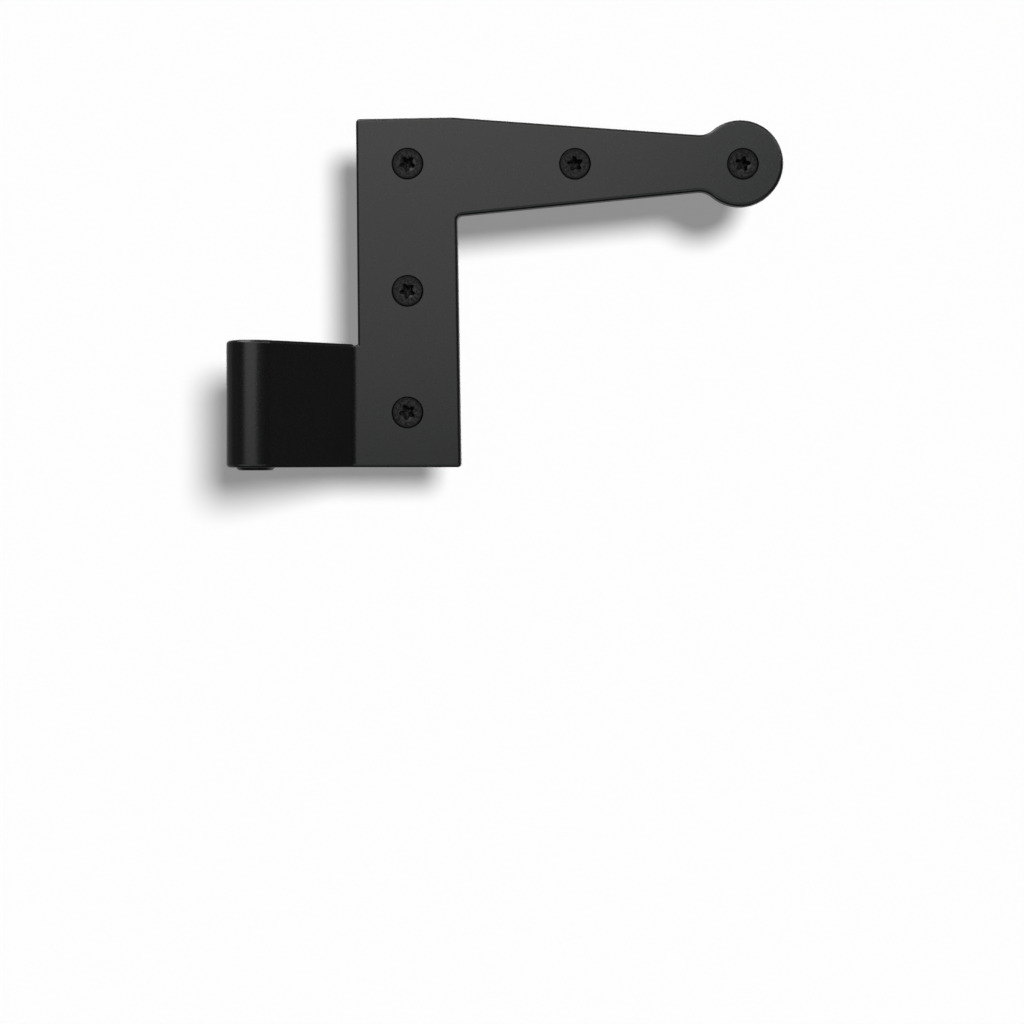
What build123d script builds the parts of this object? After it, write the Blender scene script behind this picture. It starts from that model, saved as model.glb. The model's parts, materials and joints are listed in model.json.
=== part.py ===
from build123d import *
import os
from math import asin, atan2, cos, degrees, hypot, radians, sin, tan

# A band hinge leaf for a shutter: an L-shaped steel plate whose tab is folded forward and rolled into an eye.
# The origin is on the eye's axis, level with the plate's bottom edge. +Z runs up the pin, the plate stands in
# the XZ plane to the right of the eye, and its front faces -Y. All sizes are in millimetres.

# Steel strip
plate_thickness = 3.175
front_rounding = 0.85
back_chamfer = 0.3

# Leaf, seen from the front: distances from its left edge, just past the line where the tab folds
leaf_height = 89.2
leg_width_bottom = 26.1
leg_width_corner = 25.1
leg_lean = 0.8
top_left_drop = 0.45
taper_start_x = 23.75
arm_root_width = 25.1
inner_corner_radius = 1.4
outer_corner_radius = 0.95

# Round end of the arm, with the arm's edges aimed at two points above and below its centre
end_radius = 11.0
end_centre_x = 97.2
end_centre_drop = 11.7
neck_above = 6.48
neck_below = 6.17
neck_radius = 5.0

# Folded tab and rolled eye
eye_inner_radius = 3.97
pin_offset = 12.7
fold_distance = 23.65
fold_setback = 1.2
fold_radius = 2.4
tab_height = 31.4
roll_gap = 0.35
relief_radius = 0.8
relief_setback = 1.05
relief_depth = 0.4
joint_overlap = 1.0

# Flanged bushing in the eye
bushing_clearance = 0.02
bushing_bore_radius = 3.25
bushing_setback = 0.4
bushing_chamfer = 0.2
flange_radius = 4.7
flange_thickness = 0.7
flange_chamfer = 0.55

# Screws: two up the leg, one in the corner and two along the arm, with each recess's turn in degrees
leg_screw_x = 12.4
leg_screw_heights = [13.95, 44.9]
corner_screw_drop = 11.9
arm_screws_x = [55.05, 97.8]
arm_screw_drop = 0.25
screw_turns = [6, 11, 15, 63, 43]
screw_length = 25.4
screw_head_radius = 3.9
screw_head_land = 0.15
head_angle = 82
screw_neck_radius = 1.75
thread_radius = 2.083
thread_setback = 0.6
point_length = 4.5
countersink_radius = 4.08
hole_radius = 2.35
seat_clearance = 0.02

# Star recess
recess_radius = 1.97
recess_core_radius = 1.3
recess_rib_radius = 1.0
recess_depth = 1.9
recess_lobes = 5

# Worked out from the sizes above
eye_outer_radius = eye_inner_radius + plate_thickness
eye_middle_radius = eye_inner_radius + plate_thickness / 2
plate_front = pin_offset - plate_thickness
plate_middle = pin_offset - plate_thickness / 2
leaf_left = fold_distance + fold_setback
end_centre = (leaf_left + end_centre_x, leaf_height - end_centre_drop)
front_face = Plane.XZ.offset(-plate_front)
back_face = Plane.XZ.offset(-pin_offset)
screw_places = [(leaf_left + leg_screw_x, height) for height in leg_screw_heights]
screw_places += [(leaf_left + leg_screw_x, leaf_height - corner_screw_drop)]
screw_places += [(leaf_left + x, end_centre[1] - arm_screw_drop) for x in arm_screws_x]


def make_leaf():
    """The flat L with its tapering arm and round end, its edges rounded and its screw holes not yet cut."""
    outline = [
        (leaf_left, 0),
        (leaf_left + leg_width_bottom, 0),
        (leaf_left + leg_width_corner, leaf_height - arm_root_width),
        (end_centre[0], end_centre[1] - neck_below),
        (end_centre[0], end_centre[1] + neck_above),
        (leaf_left + taper_start_x, leaf_height),
        (leaf_left - leg_lean, leaf_height - top_left_drop),
    ]
    with BuildPart() as leaf:
        with BuildSketch(back_face) as face:
            Polygon(*outline, align=None)
            with Locations(end_centre):
                Circle(end_radius)
            necks = face.vertices().filter_by(
                lambda corner: end_centre[0] - end_radius < corner.X < end_centre[0]
            )
            fillet(necks, neck_radius)
            fillet(face.vertices().sort_by_distance((*outline[2], 0))[0], inner_corner_radius)
            for corner in (outline[1], outline[6]):
                fillet(face.vertices().sort_by_distance((*corner, 0))[0], outer_corner_radius)
        extrude(amount=plate_thickness)
        fillet(leaf.faces().sort_by(Axis.Y)[0].edges(), front_rounding)
        chamfer(leaf.faces().sort_by(Axis.Y)[-1].edges(), back_chamfer)
    return leaf.part


def make_tab():
    """The folded tab and the rolled eye, with a short stretch of flat plate that joins the leaf."""
    fold_angle = atan2(plate_front, fold_distance)
    fold_angle += asin(eye_outer_radius / hypot(fold_distance, plate_front))
    fold = (fold_distance - plate_thickness / 2 * tan(fold_angle / 2), plate_middle)
    roll_start = (eye_middle_radius * sin(fold_angle), -eye_middle_radius * cos(fold_angle))
    start_angle = degrees(fold_angle) - 90
    end_angle = degrees(fold_angle - asin((eye_inner_radius - roll_gap) / eye_outer_radius)) - 360
    with BuildPart() as tab:
        with BuildSketch():
            with BuildLine() as middle:
                Polyline((leaf_left + joint_overlap, plate_middle), fold, roll_start)
                fillet(middle.vertices().sort_by_distance(fold)[0], fold_radius + plate_thickness / 2)
                CenterArc((0, 0), eye_middle_radius, start_angle, end_angle - start_angle)
            trace(line_width=plate_thickness)
        extrude(amount=tab_height)
        # The rounding of the eye's rims carries on along the tab's edges
        fillet(round_edges(tab, eye_outer_radius), front_rounding)
        chamfer(round_edges(tab, eye_inner_radius), back_chamfer)
    return tab.part


def round_edges(piece, radius):
    """The circular edges of this radius that are centred on the eye's axis."""
    arcs = piece.edges().filter_by(GeomType.CIRCLE)
    return arcs.filter_by(
        lambda arc: abs(arc.radius - radius) < 0.001 and hypot(arc.arc_center.X, arc.arc_center.Y) < 0.001
    )


# The band is one piece of steel: leaf, tab and eye
with BuildPart() as band:
    add(make_leaf())
    add(make_tab())
    with BuildSketch(back_face):
        with Locations((leaf_left - relief_setback, tab_height + relief_radius - relief_depth)):
            Circle(relief_radius)
    extrude(amount=2 * plate_thickness, mode=Mode.SUBTRACT)
    with Locations(front_face):
        with Locations(*screw_places):
            CounterSinkHole(hole_radius, countersink_radius, counter_sink_angle=head_angle)
band.part.label = "band"

# The bushing is a sleeve with a collar that bears on the hook
with BuildPart() as eye_bushing:
    with BuildSketch(Plane.XY.offset(-flange_thickness)):
        Circle(flange_radius)
    extrude(amount=flange_thickness)
    chamfer(eye_bushing.edges().sort_by(Axis.Z)[0], flange_chamfer)
    with BuildSketch():
        Circle(eye_inner_radius - bushing_clearance)
    extrude(amount=tab_height - bushing_setback)
    Hole(bushing_bore_radius)
    chamfer(round_edges(eye_bushing, bushing_bore_radius), bushing_chamfer)
eye_bushing.part.label = "eye_bushing"

# One flat-head screw, its head up and its point down. Its thread is a plain cylinder at the crest, which runs out
# towards the head and reaches its full size just behind the plate.
half_head_angle = radians(head_angle / 2)
head_depth = screw_head_land + (screw_head_radius - screw_neck_radius) / tan(half_head_angle)
head_sink = (countersink_radius - screw_head_radius) / tan(half_head_angle) - screw_head_land
head_sink -= seat_clearance / sin(half_head_angle)
thread_start = plate_thickness - head_sink + thread_setback
with BuildPart() as screw:
    with BuildSketch(Plane.XZ):
        with BuildLine():
            Polyline(
                (0, 0),
                (screw_head_radius, 0),
                (screw_head_radius, -screw_head_land),
                (screw_neck_radius, -head_depth),
                (thread_radius, -thread_start),
                (thread_radius, point_length - screw_length),
                (0, -screw_length),
                close=True,
            )
        make_face()
    revolve(axis=Axis.Z)
    # The recess is a circle bitten by one round rib between each pair of lobes
    with BuildSketch():
        Circle(recess_radius)
        with PolarLocations(recess_core_radius + recess_rib_radius, recess_lobes):
            Circle(recess_rib_radius, mode=Mode.SUBTRACT)
    extrude(amount=-recess_depth, mode=Mode.SUBTRACT)

# The five screws sit in the band's countersinks, each with its recess turned another way
with BuildPart() as wood_screws:
    with Locations(front_face.offset(-head_sink)):
        for place, turn in zip(screw_places, screw_turns):
            with Locations(place):
                add(screw.part, rotation=(0, 0, turn))
wood_screws.part.label = "wood_screws"

os.makedirs("parts", exist_ok=True)
for piece in (band, eye_bushing, wood_screws):
    export_step(piece.part, f"parts/{piece.part.label}.step")
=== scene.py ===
"""A black shutter band hinge leaf with its bushing and wood screws, seen square-on over a plain white floor.

All lengths are in metres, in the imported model's frame: +Z runs up the pin, and the plate's front faces -Y.
"""
import json
import math

import bmesh
import bpy
from mathutils import Matrix, Vector


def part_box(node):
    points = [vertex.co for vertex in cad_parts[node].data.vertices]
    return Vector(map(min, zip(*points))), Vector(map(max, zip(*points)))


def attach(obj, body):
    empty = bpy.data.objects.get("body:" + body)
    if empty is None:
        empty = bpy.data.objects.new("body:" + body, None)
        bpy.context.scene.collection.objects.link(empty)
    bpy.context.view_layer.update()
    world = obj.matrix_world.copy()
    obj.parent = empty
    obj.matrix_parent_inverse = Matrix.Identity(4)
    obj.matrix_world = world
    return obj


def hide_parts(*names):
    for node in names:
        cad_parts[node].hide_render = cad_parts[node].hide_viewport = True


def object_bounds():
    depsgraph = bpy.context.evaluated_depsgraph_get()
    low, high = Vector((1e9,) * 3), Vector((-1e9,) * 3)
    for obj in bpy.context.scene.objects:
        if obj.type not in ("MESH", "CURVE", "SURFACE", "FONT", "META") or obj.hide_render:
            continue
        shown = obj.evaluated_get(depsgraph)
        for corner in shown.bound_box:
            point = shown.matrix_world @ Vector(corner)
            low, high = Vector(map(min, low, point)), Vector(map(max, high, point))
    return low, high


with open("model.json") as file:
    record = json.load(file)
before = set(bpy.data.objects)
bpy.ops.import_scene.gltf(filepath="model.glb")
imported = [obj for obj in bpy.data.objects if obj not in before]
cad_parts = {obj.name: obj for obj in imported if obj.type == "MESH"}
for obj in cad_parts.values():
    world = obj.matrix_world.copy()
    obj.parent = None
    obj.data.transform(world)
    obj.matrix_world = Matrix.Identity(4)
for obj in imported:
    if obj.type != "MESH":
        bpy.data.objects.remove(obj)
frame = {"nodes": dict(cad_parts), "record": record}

MM = 0.001
WHITE = (1.0, 1.0, 1.0)
cad_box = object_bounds()

# Camera, square to the plate, with its frame shifted down a little
CAMERA_PLACE = (63.86 * MM, -423.5 * MM, 2.4 * MM)
CAMERA_LENS = 59.8
CAMERA_SENSOR_WIDTH = 36
CAMERA_SHIFT = -0.0529
CAMERA_CLIP_START = 0.01
CAMERA_CLIP_END = 20

# Keys: one from the upper right that makes the shadow, and two for the back. Each has its direction, its
# strength and its angle in degrees.
KEYS = {
    "key": ((-0.33, 1.0, -0.23), 3.0, 17),
    "right_rear_key": ((-0.9, -0.5, -0.5), 2.5, 20),
    "left_rear_key": ((0.8, -0.7, -0.4), 2.5, 20),
}

# Soft boxes, which make the sheen. Each has its angles right of and above the camera's axis in degrees, its
# width and height, its radiance and its colour.
SOFT_BOX_DISTANCE = 1.4
SOFT_BOXES = {
    "upper_box": (-6, 30.5, 2.3, 0.6, 1.95, (1.0, 1.01, 0.94)),
    "end_box": (15, 14, 0.26, 0.32, 0.45, (0.9, 0.96, 1.2)),
    "left_box": (-14, 10.6, 1.22, 0.6, 1.33, (0.98, 1.0, 0.99)),
    "lower_box": (-5, -36, 1.3, 1.5, 0.65, (0.95, 1.0, 1.03)),
    "low_left_box": (-48, -32, 0.9, 0.8, 1.0, (0.98, 1.0, 1.02)),
    "low_right_box": (40, -34, 0.6, 0.6, 0.8, (0.98, 1.0, 1.02)),
    "top_box": (-60, 58, 0.9, 0.9, 5.5, WHITE),
    "right_box": (55, 32, 0.36, 0.36, 4.0, WHITE),
    "above_box": (0, 88, 1.6, 1.6, 0.5, WHITE),
    "left_side_box": (-85, 0, 1.2, 2.0, 0.09, WHITE),
    "right_side_box": (82, 0, 0.8, 2.0, 0.075, WHITE),
    "right_edge_box": (110, 0, 0.7, 2.0, 0.7, WHITE),
    "left_rear_box": (-127, 0, 1.4, 2.5, 0.2, WHITE),
    "right_rear_box": (130, -5, 1.3, 2.0, 0.9, WHITE),
    "back_box": (180, 0, 2.6, 2.8, 0.25, WHITE),
}

# Dim light from all round, and the plain white that the camera sees there
DOME = 0.02
BACKGROUND = 0.986

# Floor, just clear of the screws' tips
FLOOR_GAP = 0.5 * MM
FLOOR_HALF_SIZE = 3.0
FLOOR_COLOUR = (0.8, 0.8, 0.8, 1)
FLOOR_GLOW = 0.262

# Noises in the finishes: how far apart two objects' noises may lie in the fourth dimension
NOISE_OFFSET = 9

# Powder coat on the band. Waves are waves a metre, and each pair runs from one end of its noise to the other.
COAT_CLOUD_WAVES = 45
COAT_COLOURS = ((0.0026, 0.0028, 0.0028), (0.0034, 0.0034, 0.0033))
COAT_SHEEN_WAVES = 900
COAT_ROUGHNESS = (0.268, 0.288)
COAT_PEEL_WAVES = 650
COAT_PEEL_HEIGHT = 0.0012 * MM
COAT_GRAIN_WAVES = 5200
COAT_GRAIN_HEIGHT = 0.00035 * MM

# The bushing's coat
BUSHING_WEAR_WAVES = 400
BUSHING_COLOURS = ((0.006, 0.006, 0.006), (0.012, 0.012, 0.012))
BUSHING_ROUGHNESS = (0.28, 0.36)
BUSHING_GRAIN_WAVES = 3000
BUSHING_GRAIN_HEIGHT = 0.001 * MM

# Phosphate on the screws
PHOSPHATE_COLOURS = ((0.0, 0.0, 0.0), (0.019, 0.019, 0.0195))
PHOSPHATE_SPECULAR = 0.17
PHOSPHATE_ROUGHNESS = (0.4, 0.6)
PHOSPHATE_GRAIN_WAVES = 2000
PHOSPHATE_GRAIN_HEIGHT = 0.1 * MM
PHOSPHATE_BLOTCH_WAVES = 700
PHOSPHATE_BLOTCH_HEIGHT = 0.04 * MM

# Painted shade on the head's rim, the colour darkened towards its edge: its width, the outer share of it that
# is darkest, and what is left of the colour there
PAINTED_RIM_SHADE_WIDTH = 0.9 * MM
PAINTED_RIM_SHADE_FULL = 0.3
PAINTED_RIM_SHADE_LEFT = 0.1

# Steel where the phosphate has worn off, in patches round the recess's mouth and a little way down it
STEEL_COLOUR = (0.045, 0.045, 0.044, 1)
WEAR_WAVES = 400
WEAR_WIDTH = 0.25 * MM
WEAR_FULL_DEPTH = 0.1 * MM
WEAR_END_DEPTH = 0.35 * MM

# Screws: head and face, and how far each is turned in degrees
SCREW_TURNS = {
    "leg_bottom_screw": 42,
    "leg_middle_screw": 47,
    "corner_screw": 51,
    "arm_middle_screw": 27,
    "arm_end_screw": 7,
}
SCREW_SIDES = 144
SCREW_SHARP_ANGLE = math.radians(35)
HEAD_RADIUS = 3.9 * MM
HEAD_LAND = 0.15 * MM
HEAD_HALF_ANGLE = math.radians(41)
RIM_ROUNDING = 0.24 * MM
RIM_STEPS = 4
FACE_DISH = 0.03 * MM
FACE_DISH_HALFWAY = 0.6
FACE_DISH_WIDTH = 0.5 * MM
FACE_RING_WIDTH = 0.4 * MM

# Screws: shank and point. The point's rows are shares of the root's radius, and of the point's length up from
# the tip.
NECK_RADIUS = 1.75 * MM
NECK_LENGTH = 3.4 * MM
NECK_TAPER = 0.5 * MM
ROOT_RADIUS = 1.5 * MM
POINT_LENGTH = 4.5 * MM
POINT_ROWS = ((0.55, 0.5), (0.93, 0.9), (1, 1.15))
TIP_RADIUS = 0.04 * MM
TIP_LENGTH = 0.1 * MM

# Screws: thread. It starts just past the neck, rises in less than a turn, gets lower and thinner on the point,
# and ends just short of the tip.
THREAD_PITCH = 2.6 * MM
THREAD_HALF_BASE = 0.42 * MM
THREAD_HALF_CREST = 0.04 * MM
THREAD_SINK = 0.06 * MM
THREAD_START = 0.9 * MM
THREAD_END = 0.5 * MM
THREAD_STEPS = 40
THREAD_RISE_TURNS = 0.75
THREAD_TIP_SHARE = 0.35
THREAD_CORE_POWER = 0.8
THREAD_LEAST_RADIUS = 0.01 * MM

# Screws: recess. Its mouth's rows are shares of the mouth's width, outwards and down. Its walls lean in a
# little down to its depth, and a cone in two steps closes it.
RECESS_LOBES = 5
RECESS_RADIUS = 1.97 * MM
RECESS_CORE_RADIUS = 1.25 * MM
RECESS_LOBE_ROUNDING = 0.45 * MM
RECESS_MOUTH = 0.22 * MM
RECESS_MOUTH_ROWS = ((1, 0), (0.3, 0.4), (0, 1))
RECESS_DEPTH = 1.5 * MM
RECESS_DEPTH_SHARE = 0.97
RECESS_CONE = 1.6 * MM
RECESS_CONE_SHARE = 0.75
RECESS_CONE_DROP = 0.25


# Shader helpers

def new_material(name):
    """A material with its node tree and its Principled shader."""
    material = bpy.data.materials.new(name)
    material.use_nodes = True
    tree = material.node_tree
    return material, tree, tree.nodes["Principled BSDF"]


def noise(tree, waves, detail=2.0, roughness=0.5):
    """A noise of that many waves a metre, in the object's own coordinates and different on each object."""
    node = tree.nodes.new("ShaderNodeTexNoise")
    node.noise_dimensions = "4D"
    node.inputs["Scale"].default_value = waves
    node.inputs["Detail"].default_value = detail
    node.inputs["Roughness"].default_value = roughness
    tree.links.new(tree.nodes.new("ShaderNodeTexCoord").outputs["Object"], node.inputs["Vector"])
    number = tree.nodes.new("ShaderNodeObjectInfo").outputs["Random"]
    tree.links.new(calculate(tree, "MULTIPLY", number, NOISE_OFFSET), node.inputs["W"])
    return node.outputs["Fac"]


def calculate(tree, operation, first, second):
    """A Math node on two values, the second of which may be a plain number."""
    node = tree.nodes.new("ShaderNodeMath")
    node.operation = operation
    tree.links.new(first, node.inputs[0])
    if isinstance(second, (int, float)):
        node.inputs[1].default_value = second
    else:
        tree.links.new(second, node.inputs[1])
    return node.outputs["Value"]


def spread(tree, value, low, high, to=(0, 1)):
    """Maps value from low..high to the two numbers in to."""
    node = tree.nodes.new("ShaderNodeMapRange")
    for name, number in (("From Min", low), ("From Max", high), ("To Min", to[0]), ("To Max", to[1])):
        node.inputs[name].default_value = number
    tree.links.new(value, node.inputs["Value"])
    return node.outputs["Result"]


def blend_colours(tree, share, colours):
    """A colour between two others by a share from 0 to 1."""
    node = tree.nodes.new("ShaderNodeMix")
    node.data_type = "RGBA"
    node.inputs["A"].default_value = (*colours[0], 1)
    node.inputs["B"].default_value = (*colours[1], 1)
    tree.links.new(share, node.inputs["Factor"])
    return node.outputs["Result"]


def bump(tree, shader, layers):
    """Stacks height layers, each (height, distance), on the shader's normal."""
    normal = None
    for height, distance in layers:
        node = tree.nodes.new("ShaderNodeBump")
        node.inputs["Distance"].default_value = distance
        tree.links.new(height, node.inputs["Height"])
        if normal is not None:
            tree.links.new(normal, node.inputs["Normal"])
        normal = node.outputs["Normal"]
    tree.links.new(normal, shader.inputs["Normal"])


# Materials

def powder_coat():
    """Black satin powder coat: a faint orange peel, a fine grain and a slightly uneven sheen."""
    material, tree, shader = new_material("powder_coat")
    cloud = spread(tree, noise(tree, COAT_CLOUD_WAVES, detail=3), low=0.35, high=0.65)
    tree.links.new(blend_colours(tree, cloud, COAT_COLOURS), shader.inputs["Base Color"])
    sheen = noise(tree, COAT_SHEEN_WAVES, detail=4, roughness=0.6)
    roughness = spread(tree, sheen, low=0.3, high=0.7, to=COAT_ROUGHNESS)
    tree.links.new(roughness, shader.inputs["Roughness"])
    peel = noise(tree, COAT_PEEL_WAVES, detail=1)
    grain = noise(tree, COAT_GRAIN_WAVES, detail=3)
    bump(tree, shader, [(peel, COAT_PEEL_HEIGHT), (grain, COAT_GRAIN_HEIGHT)])
    return material


def bushing_coat():
    """The bushing's black coat, a little rougher than the band's and worn in places."""
    material, tree, shader = new_material("bushing_coat")
    wear = noise(tree, BUSHING_WEAR_WAVES, detail=3)
    colour = blend_colours(tree, spread(tree, wear, low=0.4, high=0.7), BUSHING_COLOURS)
    tree.links.new(colour, shader.inputs["Base Color"])
    roughness = spread(tree, wear, low=0.3, high=0.7, to=BUSHING_ROUGHNESS)
    tree.links.new(roughness, shader.inputs["Roughness"])
    bump(tree, shader, [(noise(tree, BUSHING_GRAIN_WAVES, detail=2), BUSHING_GRAIN_HEIGHT)])
    return material


def screw_radius_and_height(tree):
    """Each point's distance from the screw's axis, and its height above the head's top."""
    place = tree.nodes.new("ShaderNodeTexCoord").outputs["Object"]
    flat = tree.nodes.new("ShaderNodeVectorMath")
    flat.operation = "MULTIPLY"
    flat.inputs[1].default_value = (1, 1, 0)
    tree.links.new(place, flat.inputs[0])
    length = tree.nodes.new("ShaderNodeVectorMath")
    length.operation = "LENGTH"
    tree.links.new(flat.outputs["Vector"], length.inputs[0])
    parts = tree.nodes.new("ShaderNodeSeparateXYZ")
    tree.links.new(place, parts.inputs["Vector"])
    return length.outputs["Value"], parts.outputs["Z"]


def screw_finish():
    """Black phosphate over steel: matt, grainy and blotched, with painted shade that darkens the colour
    towards the head's rim. The steel shows where the driver has worn the recess's mouth."""
    material, tree, shader = new_material("screw_finish")
    grain = noise(tree, PHOSPHATE_GRAIN_WAVES, detail=1, roughness=0.7)
    blotch = noise(tree, PHOSPHATE_BLOTCH_WAVES, detail=2)
    radius, height = screw_radius_and_height(tree)

    # Painted shade: the phosphate's colour darkens towards the head's rim
    shade_start = HEAD_RADIUS - PAINTED_RIM_SHADE_WIDTH
    shade_end = HEAD_RADIUS - PAINTED_RIM_SHADE_FULL * PAINTED_RIM_SHADE_WIDTH
    rim = spread(tree, radius, shade_start, shade_end, to=(1, PAINTED_RIM_SHADE_LEFT))
    share = calculate(tree, "MULTIPLY", spread(tree, grain, low=0.4, high=0.6), rim)
    black = blend_colours(tree, share, PHOSPHATE_COLOURS)

    near = spread(tree, radius, RECESS_RADIUS + WEAR_WIDTH, RECESS_RADIUS)
    shallow = spread(tree, height, -WEAR_END_DEPTH, -WEAR_FULL_DEPTH)
    mouth = calculate(tree, "MULTIPLY", near, shallow)
    patches = spread(tree, noise(tree, WEAR_WAVES, detail=2), low=0.52, high=0.64)
    worn = calculate(tree, "MULTIPLY", mouth, patches)
    steel = tree.nodes.new("ShaderNodeMix")
    steel.data_type = "RGBA"
    steel.inputs["B"].default_value = STEEL_COLOUR
    tree.links.new(worn, steel.inputs["Factor"])
    tree.links.new(black, steel.inputs["A"])
    tree.links.new(steel.outputs["Result"], shader.inputs["Base Color"])
    tree.links.new(worn, shader.inputs["Metallic"])

    roughness = spread(tree, blotch, low=0.35, high=0.65, to=PHOSPHATE_ROUGHNESS)
    tree.links.new(roughness, shader.inputs["Roughness"])
    shader.inputs["Specular IOR Level"].default_value = PHOSPHATE_SPECULAR
    bump(tree, shader, [(blotch, PHOSPHATE_BLOTCH_HEIGHT), (grain, PHOSPHATE_GRAIN_HEIGHT)])
    return material


# Screws

def recess_edge(angle):
    """The recess's radius in a direction: round lobes joined by round ribs, each tangent to the next."""
    core = RECESS_CORE_RADIUS
    rounding = RECESS_LOBE_ROUNDING
    lobe = RECESS_RADIUS - rounding
    half = math.pi / RECESS_LOBES
    turn = abs((angle + half) % (2 * half) - half)
    # The rib's radius that makes its circle touch both the core and the lobe's circle
    rib = (lobe**2 + core**2 - 2 * lobe * core * math.cos(half) - rounding**2) / (
        2 * (rounding - core + lobe * math.cos(half))
    )
    centre = core + rib
    rib_centre = Vector((centre * math.cos(half), centre * math.sin(half)))
    touch = Vector((lobe, 0)).lerp(rib_centre, rounding / (rounding + rib))
    if turn < math.atan2(touch.y, touch.x):
        return lobe * math.cos(turn) + math.sqrt(rounding**2 - (lobe * math.sin(turn)) ** 2)
    off = half - turn
    return centre * math.cos(off) - math.sqrt(rib**2 - (centre * math.sin(off)) ** 2)


def ring(bm, radius, height):
    """A closed row of vertices round Z. radius is a number or a function of the angle."""
    row = []
    for i in range(SCREW_SIDES):
        angle = 2 * math.pi * i / SCREW_SIDES
        r = radius(angle) if callable(radius) else radius
        row.append(bm.verts.new((r * math.cos(angle), r * math.sin(angle), height)))
    return row


def recess_row(bm, height, share=1, margin=0):
    """A closed row of vertices in the recess's shape, scaled by share and widened by margin."""
    return ring(bm, lambda angle: recess_edge(angle) * share + margin, height)


def skin(bm, rows):
    """Faces between closed rows."""
    for low, high in zip(rows, rows[1:]):
        for i in range(len(low)):
            j = (i + 1) % len(low)
            bm.faces.new((low[i], low[j], high[j], high[i]))


def fan(bm, row, tip, flip=False):
    """Closes a row with triangles to one vertex."""
    middle = bm.verts.new(tip)
    for i in range(len(row)):
        j = (i + 1) % len(row)
        bm.faces.new((row[j], row[i], middle) if flip else (row[i], row[j], middle))


def screw_body(bm, length):
    """The screw without its thread. Its head's top is at height 0 and its point at -length."""
    head_depth = HEAD_LAND + (HEAD_RADIUS - NECK_RADIUS) / math.tan(HEAD_HALF_ANGLE)
    outline = [(TIP_RADIUS, TIP_LENGTH - length)]
    outline += [(ROOT_RADIUS * out, POINT_LENGTH * up - length) for out, up in POINT_ROWS]
    outline += [
        (ROOT_RADIUS, -NECK_LENGTH - NECK_TAPER),
        (NECK_RADIUS, -NECK_LENGTH),
        (NECK_RADIUS, -head_depth),
    ]
    # The head's rim is a quarter circle from the cone up to the dished face
    rim_radius = HEAD_RADIUS - (RIM_ROUNDING - HEAD_LAND) * math.tan(HEAD_HALF_ANGLE) - RIM_ROUNDING
    for step in range(RIM_STEPS + 1):
        angle = math.radians(90 * step / RIM_STEPS)
        outline.append((rim_radius + RIM_ROUNDING * math.cos(angle), RIM_ROUNDING * (math.sin(angle) - 1)))
    outline += [
        (rim_radius - FACE_DISH_WIDTH / 2, -FACE_DISH_HALFWAY * FACE_DISH),
        (rim_radius - FACE_DISH_WIDTH, -FACE_DISH),
        (RECESS_RADIUS + FACE_RING_WIDTH, -FACE_DISH),
    ]
    rows = [ring(bm, radius, height) for radius, height in outline]
    for out, down in RECESS_MOUTH_ROWS:
        rows.append(recess_row(bm, -FACE_DISH - down * RECESS_MOUTH, margin=out * RECESS_MOUTH))
    rows.append(recess_row(bm, -RECESS_DEPTH, share=RECESS_DEPTH_SHARE))
    rows.append(recess_row(bm, -RECESS_DEPTH - RECESS_CONE_DROP * RECESS_CONE, share=RECESS_CONE_SHARE))
    skin(bm, rows)
    fan(bm, rows[0], (0, 0, -length), flip=True)
    fan(bm, rows[-1], (0, 0, -RECESS_DEPTH - RECESS_CONE))


def screw_thread(bm, length, crest):
    """A V-shaped ridge wound round the shank, rising out of the neck and dying out on the point."""
    start = -NECK_LENGTH - THREAD_START
    end = -length + THREAD_END
    turns = (start - end) / THREAD_PITCH
    steps = int(turns * THREAD_STEPS)
    rows = []
    for i in range(steps + 1):
        share = i / steps
        angle = 2 * math.pi * turns * share
        height = start + (end - start) * share
        point_share = (height + length) / POINT_LENGTH
        core = ROOT_RADIUS * min(1.0, point_share) ** THREAD_CORE_POWER
        grow = min(1.0, share * turns / THREAD_RISE_TURNS)
        grow *= min(1.0, THREAD_TIP_SHARE + (1 - THREAD_TIP_SHARE) * point_share)
        top = core + (crest - ROOT_RADIUS) * grow
        foot = core - THREAD_SINK
        half = THREAD_HALF_BASE * grow
        row = []
        for radius, offset in (
            (foot, half),
            (top, THREAD_HALF_CREST),
            (top, -THREAD_HALF_CREST),
            (foot, -half),
        ):
            radius = max(radius, THREAD_LEAST_RADIUS)
            row.append(bm.verts.new((radius * math.cos(angle), radius * math.sin(angle), height + offset)))
        rows.append(row)
    for low, high in zip(rows, rows[1:]):
        for i in range(len(low)):
            j = (i + 1) % len(low)
            bm.faces.new((low[i], high[i], high[j], low[j]))
    bm.faces.new(reversed(rows[0]))
    bm.faces.new(rows[-1])


def screw_mesh(length, crest):
    """The mesh of one screw with its thread, smooth but for its sharp edges."""
    bm = bmesh.new()
    screw_body(bm, length)
    screw_thread(bm, length, crest)
    bmesh.ops.recalc_face_normals(bm, faces=bm.faces)
    mesh = bpy.data.meshes.new("wood_screw")
    bm.to_mesh(mesh)
    bm.free()
    mesh.shade_smooth()
    mesh.set_sharp_from_angle(angle=SCREW_SHARP_ANGLE)
    return mesh


def make_screws(material):
    """One threaded screw on each screw mount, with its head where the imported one's is."""
    low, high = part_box("wood_screws")
    places = [m for m in frame["record"]["mounts"] if m["kind"] == "pin"]
    mesh = screw_mesh(high.y - low.y, places[0]["dims"]["r_mm"] * MM)
    mesh.materials.append(material)
    for mount in places:
        screw = bpy.data.objects.new(mount["name"], mesh)
        bpy.context.scene.collection.objects.link(screw)
        place = Matrix.Translation((mount["pos_m"][0], low.y, mount["pos_m"][2]))
        face_forward = Matrix.Rotation(math.pi / 2, 4, "X")
        turn = Matrix.Rotation(math.radians(SCREW_TURNS[mount["name"]]), 4, "Z")
        screw.matrix_world = place @ face_forward @ turn
        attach(screw, "root")
        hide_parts("wood_screws")


# Stage

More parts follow.
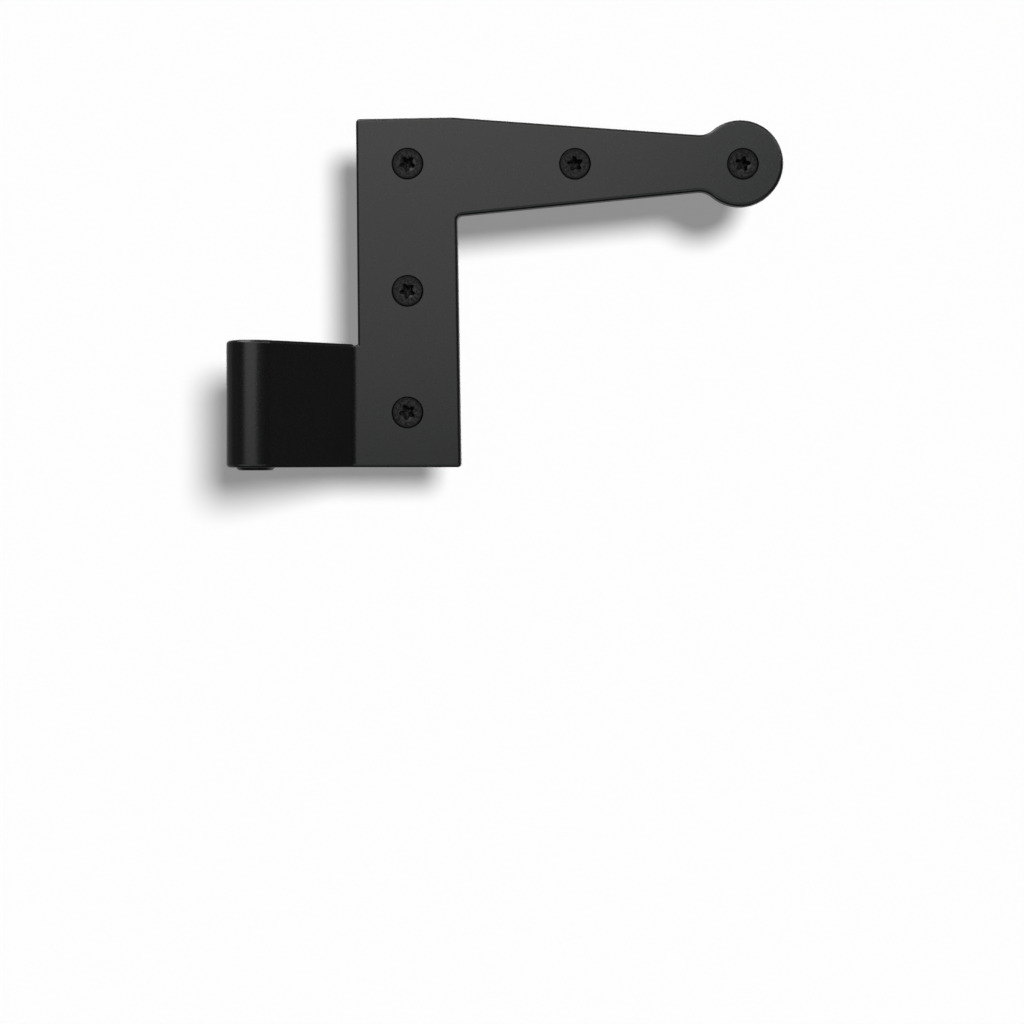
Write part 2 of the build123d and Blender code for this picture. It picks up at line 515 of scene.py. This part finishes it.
def make_floor():
    """A white floor behind the part. It lets rays through from behind, so that the part's back is seen."""
    material, tree, shader = new_material("white_floor")
    shader.inputs["Base Color"].default_value = FLOOR_COLOUR
    shader.inputs["Roughness"].default_value = 1
    shader.inputs["Specular IOR Level"].default_value = 0
    shader.inputs["Emission Color"].default_value = (*WHITE, 1)
    shader.inputs["Emission Strength"].default_value = FLOOR_GLOW
    clear = tree.nodes.new("ShaderNodeBsdfTransparent")
    side = tree.nodes.new("ShaderNodeNewGeometry")
    choice = tree.nodes.new("ShaderNodeMixShader")
    tree.links.new(side.outputs["Backfacing"], choice.inputs["Fac"])
    tree.links.new(shader.outputs["BSDF"], choice.inputs[1])
    tree.links.new(clear.outputs["BSDF"], choice.inputs[2])
    tree.links.new(choice.outputs["Shader"], tree.nodes["Material Output"].inputs["Surface"])

    y = cad_box[1].y + FLOOR_GAP
    size = FLOOR_HALF_SIZE
    corners = [(-size, y, -size), (size, y, -size), (size, y, size), (-size, y, size)]
    mesh = bpy.data.meshes.new("floor")
    mesh.from_pydata(corners, [], [(0, 1, 2, 3)])
    mesh.materials.append(material)
    floor = bpy.data.objects.new("floor", mesh)
    bpy.context.scene.collection.objects.link(floor)
    floor.visible_glossy = False
    floor.visible_shadow = False


def make_keys():
    """The lights on the floor and on the part's back, without a reflection of their own in the part."""
    for name, (direction, strength, angle) in KEYS.items():
        key = bpy.data.objects.new(name, bpy.data.lights.new(name, "SUN"))
        key.data.energy = strength
        key.data.angle = math.radians(angle)
        key.rotation_mode = "QUATERNION"
        key.rotation_quaternion = Vector(direction).to_track_quat("-Z", "Y")
        key.visible_glossy = False
        bpy.context.scene.collection.objects.link(key)


def make_soft_boxes():
    """Rectangular lights that the part reflects and that leave the floor as it is."""
    centre = (cad_box[0] + cad_box[1]) / 2
    for name, (right, up, width, height, radiance, colour) in SOFT_BOXES.items():
        light = bpy.data.objects.new(name, bpy.data.lights.new(name, "AREA"))
        light.data.shape = "RECTANGLE"
        light.data.size = width
        light.data.size_y = height
        light.data.energy = radiance * math.pi * width * height
        light.data.color = colour
        across = math.radians(right)
        above = math.radians(up)
        level = math.cos(above)
        away = Vector((math.sin(across) * level, -math.cos(across) * level, math.sin(above)))
        light.location = centre + SOFT_BOX_DISTANCE * away
        light.rotation_mode = "QUATERNION"
        light.rotation_quaternion = (-away).to_track_quat("-Z", "Y")
        light.visible_diffuse = False
        light.visible_camera = False
        bpy.context.scene.collection.objects.link(light)


def make_dome():
    """Dim light from all round. The camera sees plain white there."""
    world = bpy.data.worlds.new("studio")
    bpy.context.scene.world = world
    world.use_nodes = True
    tree = world.node_tree
    plain = tree.nodes["Background"]
    plain.inputs["Color"].default_value = (BACKGROUND, BACKGROUND, BACKGROUND, 1)
    dome = tree.nodes.new("ShaderNodeBackground")
    dome.inputs["Color"].default_value = (DOME, DOME, DOME, 1)
    choice = tree.nodes.new("ShaderNodeMixShader")
    tree.links.new(tree.nodes.new("ShaderNodeLightPath").outputs["Is Camera Ray"], choice.inputs["Fac"])
    tree.links.new(dome.outputs["Background"], choice.inputs[1])
    tree.links.new(plain.outputs["Background"], choice.inputs[2])
    tree.links.new(choice.outputs["Shader"], tree.nodes["World Output"].inputs["Surface"])


def make_camera():
    """The camera, level and square to the plate."""
    camera = bpy.data.objects.new("camera", bpy.data.cameras.new("camera"))
    camera.data.lens = CAMERA_LENS
    camera.data.sensor_width = CAMERA_SENSOR_WIDTH
    camera.data.clip_start = CAMERA_CLIP_START
    camera.data.clip_end = CAMERA_CLIP_END
    camera.data.shift_y = CAMERA_SHIFT
    camera.location = CAMERA_PLACE
    camera.rotation_euler = (math.pi / 2, 0, 0)
    bpy.context.scene.collection.objects.link(camera)
    bpy.context.scene.camera = camera


def paint(node, material):
    """Gives a CAD node its material."""
    for slot in frame["nodes"][node].material_slots:
        slot.material = material


make_camera()
make_floor()
make_keys()
make_soft_boxes()
make_dome()
paint("band", powder_coat())
paint("eye_bushing", bushing_coat())
make_screws(screw_finish())
bpy.context.scene.view_settings.view_transform = "Standard"
